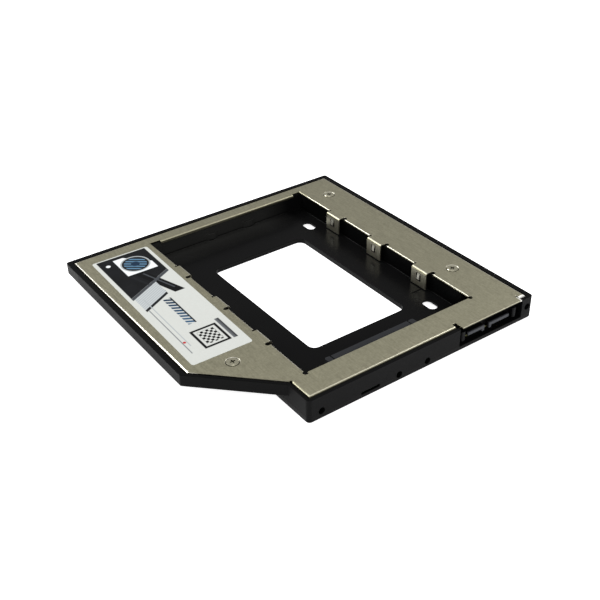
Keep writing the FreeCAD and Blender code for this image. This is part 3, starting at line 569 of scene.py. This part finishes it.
class Artwork:
    """Flat shapes painted over each other on the label, in millimetres from its middle."""

    def __init__(self, finish, ground):
        self.finish = finish
        self.colour = ground
        x, y = finish.axes()[:2]
        turn = math.radians(LABEL_TURN)
        along_x = finish.math("SUBTRACT", finish.math("DIVIDE", x, MM), LABEL_CENTRE[0])
        along_y = finish.math("SUBTRACT", finish.math("DIVIDE", y, MM), LABEL_CENTRE[1])
        self.u = self.blend(along_x, along_y, math.cos(turn), -math.sin(turn))
        self.v = self.blend(along_x, along_y, math.sin(turn), math.cos(turn))

    def blend(self, first, second, by_first, by_second):
        calc = self.finish.math
        return calc("ADD", calc("MULTIPLY", first, by_first), calc("MULTIPLY", second, by_second))

    def side(self, by_u, by_v, limit):
        """1 where by_u * u + by_v * v is over the limit."""
        value = self.blend(self.u, self.v, by_u, by_v)
        return self.finish.span(value, limit - PRINT_SOFT, limit + PRINT_SOFT, 0.0, 1.0)

    def below(self, limit):
        """1 where v is under the limit plus its rise along u."""
        return self.side(BAND_RISE, -1.0, -limit)

    def band(self, low, high):
        """1 between two such slanted lines."""
        return self.finish.both(self.side(-BAND_RISE, 1.0, low), self.below(high))

    def box(self, u0, u1, v0, v1, lean=0.0):
        """Rectangle, leaning by a share of its height along v."""
        return self.finish.both(
            self.side(1.0, -lean, u0),
            self.side(-1.0, lean, -u1),
            self.side(0.0, 1.0, v0),
            self.side(0.0, -1.0, -v1),
        )

    def disc(self, place, radius):
        distance = self.finish.distance(self.u, self.v, place)
        return self.finish.span(distance, radius + PRINT_SOFT, radius - PRINT_SOFT, 0.0, 1.0)

    def stripes(self, by_u, by_v, pitch, share):
        """1 on stripes square to the direction, a share of each pitch wide."""
        value = self.finish.math("PINGPONG", self.blend(self.u, self.v, by_u, by_v), pitch / 2)
        edge = share * pitch / 2
        return self.finish.span(value, edge + STRIPE_SOFT, edge - STRIPE_SOFT, 0.0, 1.0)

    def paint(self, mask, colour):
        self.colour = self.finish.mix(mask, self.colour, colour)


def label_print():
    """White label with a plain print of dark, blue and grey shapes."""
    finish = Finish("printed_label")
    fibres = finish.noise(900.0, 4.0)
    art = Artwork(finish, finish.mix(fibres, (0.565, 0.58, 0.55), (0.61, 0.625, 0.595)))
    ink = (0.0030, 0.0032, 0.0038)
    coal = (0.010, 0.011, 0.013)
    navy = (0.010, 0.028, 0.060)
    blue = (0.100, 0.210, 0.330)
    dusk = (0.050, 0.110, 0.190)
    silver = (0.40, 0.43, 0.44)
    bright = (0.50, 0.53, 0.54)
    steel = (0.055, 0.060, 0.068)
    smoke = (0.16, 0.17, 0.18)
    slate = (0.20, 0.21, 0.22)
    pale = (0.80, 0.83, 0.84)
    red = (0.45, 0.04, 0.04)
    clouded = finish.noise(170.0, 4.0)

    # Dark ground over the front end, ending in two long teeth
    field = art.box(-10.6, 10.4, -39.4, 0.0)
    art.paint(finish.both(art.below(-14.2), field), finish.mix(clouded, ink, coal))
    art.paint(art.box(-10.6, -6.4, -24.0, -3.4, -0.35), ink)
    art.paint(art.box(-5.0, -3.8, -22.0, -6.2, -0.35), coal)
    art.paint(art.box(-9.4, -8.7, -22.0, -6.6, -0.35), steel)

    # Silver panel with hatching between the teeth and the edge
    strip = art.box(-2.6, 9.6, -40.0, 10.0)
    hatching = finish.mix(art.stripes(BAND_RISE, -1.0, 1.1, 0.5), silver, bright)
    art.paint(finish.both(art.band(-12.6, -3.6), strip), hatching)
    art.paint(finish.both(art.band(-4.0, -2.6), strip), coal)
    art.paint(finish.both(art.band(-14.2, -12.6), field), steel)

    # Rings on a pale plate with cut corners, and a dot beside them
    plate = art.box(-8.6, 4.2, -37.4, -23.6)
    rings = (-2.2, -30.4)
    art.paint(finish.both(plate, art.side(-0.7, -0.7, -9.76), art.side(0.7, 0.7, -26.18)), pale)
    art.paint(art.disc(rings, 5.9), silver)
    art.paint(art.disc(rings, 5.3), coal)
    art.paint(finish.both(art.disc(rings, 4.5), art.stripes(0.6, 0.8, 1.7, 0.5)), blue)
    art.paint(art.disc(rings, 1.7), navy)
    art.paint(art.disc((7.4, -34.6), 0.9), pale)

    # A row of slanted bars, dark blue running to light
    bars = finish.both(art.box(-1.9, 1.3, -1.0, 18.4), art.stripes(0.55, 1.0, 2.1, 0.62))
    fade = finish.span(art.v, -1.0, 18.4, 0.0, 1.0)
    art.paint(bars, finish.mix(fade, navy, dusk))
    art.paint(art.box(-2.0, -1.4, -1.0, 18.4), coal)

    # Fine double rule with one red dot
    art.paint(art.box(6.7, 7.1, -6.0, 30.0), silver)
    art.paint(art.box(8.4, 8.8, 2.0, 34.0), slate)
    art.paint(art.disc((7.8, 27.0), 0.6), red)

    # Framed chequer at the rear end, with a dark bar beside it
    art.paint(finish.without(art.box(-6.9, 3.6, 22.6, 34.4), art.box(-5.9, 2.6, 23.6, 33.4)), ink)
    across = art.stripes(1.0, 0.0, 2.15, 0.5)
    along = art.stripes(0.0, 1.0, 2.4, 0.5)
    chequer = finish.math("ABSOLUTE", finish.math("SUBTRACT", across, along))
    art.paint(finish.both(art.box(-5.0, 1.7, 24.5, 32.5), chequer), ink)
    shine = finish.span(art.u, -9.4, -7.7, 0.0, 1.0)
    art.paint(art.box(-9.4, -7.7, 20.6, 34.4), finish.mix(shine, coal, smoke))

    rough = finish.vary(fibres, 0.34, 0.42)
    finish.set(Base_Color=art.colour, Roughness=rough, IOR=PLASTIC_IOR, Specular_IOR_Level=0.08)
    finish.bump(fibres, 0.000006, 0.4)
    finish.use("label")


def new_group(name):
    """An empty group of geometry nodes that takes and gives one geometry."""
    group = bpy.data.node_groups.new(name, "GeometryNodeTree")
    for way in ("INPUT", "OUTPUT"):
        group.interface.new_socket("Geometry", in_out=way, socket_type="NodeSocketGeometry")
    return group


def rounding_group():
    """Geometry nodes that weld the split vertices and shade curved faces smooth."""
    group = new_group("weld_and_smooth")
    add = group.nodes.new
    link = group.links.new
    start = add("NodeGroupInput")
    end = add("NodeGroupOutput")
    weld = add("GeometryNodeMergeByDistance")
    weld.inputs["Distance"].default_value = WELD_DISTANCE
    plain = add("GeometryNodeRemoveAttribute")
    plain.inputs["Name"].default_value = "custom_normal"
    smooth = add("GeometryNodeSetShadeSmooth")
    smooth.domain = "FACE"
    smooth.inputs["Shade Smooth"].default_value = True
    sharp = add("GeometryNodeSetShadeSmooth")
    sharp.domain = "EDGE"
    sharp.inputs["Shade Smooth"].default_value = False
    angle = add("GeometryNodeInputMeshEdgeAngle")
    over = add("FunctionNodeCompare")
    over.data_type = "FLOAT"
    over.operation = "GREATER_THAN"
    over.inputs["B"].default_value = math.radians(SMOOTH_BELOW)
    link(start.outputs[0], plain.inputs["Geometry"])
    link(plain.outputs["Geometry"], weld.inputs["Geometry"])
    link(weld.outputs["Geometry"], smooth.inputs["Geometry"])
    link(smooth.outputs["Geometry"], sharp.inputs["Geometry"])
    link(angle.outputs["Unsigned Angle"], over.inputs["A"])
    link(over.outputs["Result"], sharp.inputs["Selection"])
    link(sharp.outputs["Geometry"], end.inputs[0])
    return group


def cover_edge_group():
    """Geometry nodes that weigh the cover's edges: full on the window's sides, less on all the others."""
    group = new_group("weigh_edges")
    add = group.nodes.new
    link = group.links.new

    def calc(operation, first, second=0.0):
        node = add("ShaderNodeMath")
        node.operation = operation
        for socket, value in zip(node.inputs, (first, second)):
            if isinstance(value, bpy.types.NodeSocket):
                link(value, socket)
            else:
                socket.default_value = value
        return node.outputs[0]

    ends = add("GeometryNodeInputMeshEdgeVertices")
    places = []
    for output in (ends.outputs["Position 1"], ends.outputs["Position 2"]):
        split = add("ShaderNodeSeparateXYZ")
        link(output, split.inputs[0])
        places.append(split.outputs)

    def along_line(by_x, by_y, level):
        """1 where both ends of the edge lie on the line by_x * x + by_y * y = level, in millimetres."""
        off = []
        for x, y, z in places:
            value = calc("ADD", calc("MULTIPLY", x, by_x), calc("MULTIPLY", y, by_y))
            off.append(calc("ABSOLUTE", calc("SUBTRACT", value, level * MM)))
        return calc("LESS_THAN", calc("ADD", off[0], off[1]), LINE_SLACK * MM)

    diagonal = math.sqrt(0.5)
    strong = calc("MULTIPLY", along_line(diagonal, diagonal, SLANT_LINE), SLANT_SHARE)
    for level in WINDOW_SIDES:
        strong = calc("MAXIMUM", strong, along_line(1.0, 0.0, level))
    high = calc("GREATER_THAN", calc("ADD", places[0][2], places[1][2]), 2 * (COVER_TOP - LINE_SLACK) * MM)
    angle = add("GeometryNodeInputMeshEdgeAngle")
    corner = calc("GREATER_THAN", angle.outputs["Unsigned Angle"], math.radians(ROUND_ABOVE))
    away = 1.0
    for x, y, z in places:
        across = calc("SUBTRACT", x, STEP_RELIEF[0] * MM)
        along = calc("SUBTRACT", y, STEP_RELIEF[1] * MM)
        distance = calc("SQRT", calc("ADD", calc("MULTIPLY", across, across), calc("MULTIPLY", along, along)))
        away = calc("MULTIPLY", calc("GREATER_THAN", distance, STEP_RELIEF_REACH * MM), away)
    share = calc("MAXIMUM", calc("MULTIPLY", strong, high), FINE_SHARE)
    weight = calc("MULTIPLY", calc("MULTIPLY", corner, away), share)
    store = add("GeometryNodeStoreNamedAttribute")
    store.data_type = "FLOAT"
    store.domain = "EDGE"
    store.inputs["Name"].default_value = "bevel_weight_edge"
    link(weight, store.inputs["Value"])
    link(add("NodeGroupInput").outputs[0], store.inputs["Geometry"])
    link(store.outputs["Geometry"], add("NodeGroupOutput").inputs[0])
    return group


def round_edges():
    """Small rounded edges, so that corners catch the light as moulded and pressed ones do."""
    group = rounding_group()
    for name, width in ROUNDING.items():
        modifiers = nodes[name].modifiers
        modifiers.new("weld", "NODES").node_group = group
        if width == 0:
            continue
        flat = modifiers.new("flat", "DECIMATE")
        flat.decimate_type = "DISSOLVE"
        flat.angle_limit = math.radians(FLAT_BELOW)
        if name == "top_cover":
            modifiers.new("weigh", "NODES").node_group = cover_edge_group()
        bevel = modifiers.new("rounded", "BEVEL")
        bevel.width = width * MM
        bevel.segments = 3 if name == "top_cover" else 2
        bevel.limit_method = "WEIGHT" if name == "top_cover" else "ANGLE"
        bevel.angle_limit = math.radians(ROUND_ABOVE)
        bevel.use_clamp_overlap = False
        even = modifiers.new("even", "WEIGHTED_NORMAL")
        even.mode = "FACE_AREA"
        even.weight = NORMAL_WEIGHT
        even.keep_sharp = True


def make_floor():
    """Plain pale floor."""
    mesh = bpy.data.meshes.new("floor")
    corners = [(x * STUDIO_HALF, y * STUDIO_HALF, 0.0) for x, y in ((-1, -1), (1, -1), (1, 1), (-1, 1))]
    mesh.from_pydata(corners, [], [(0, 1, 2, 3)])
    floor = bpy.data.objects.new("floor", mesh)
    floor.location = (0.0, 0.0, -STUDIO_DROP)
    bpy.context.scene.collection.objects.link(floor)
    finish = Finish("floor_paper")
    paper = finish.mix(finish.noise(9.0), (0.92, 0.92, 0.92), (0.94, 0.94, 0.94))
    finish.set(Base_Color=paper, Roughness=0.9, Emission_Color=WHITE, Emission_Strength=STUDIO_GLOW)
    mesh.materials.append(finish.material)


make_camera()
make_light()
bpy.context.scene.view_settings.view_transform = "Standard"
frame_plastic()
cover_metal()
screw_metal()
connector_plastic()
contact_metal()
tinned_metal()
board_finish()
capacitor_body()
label_print()
round_edges()
make_floor()
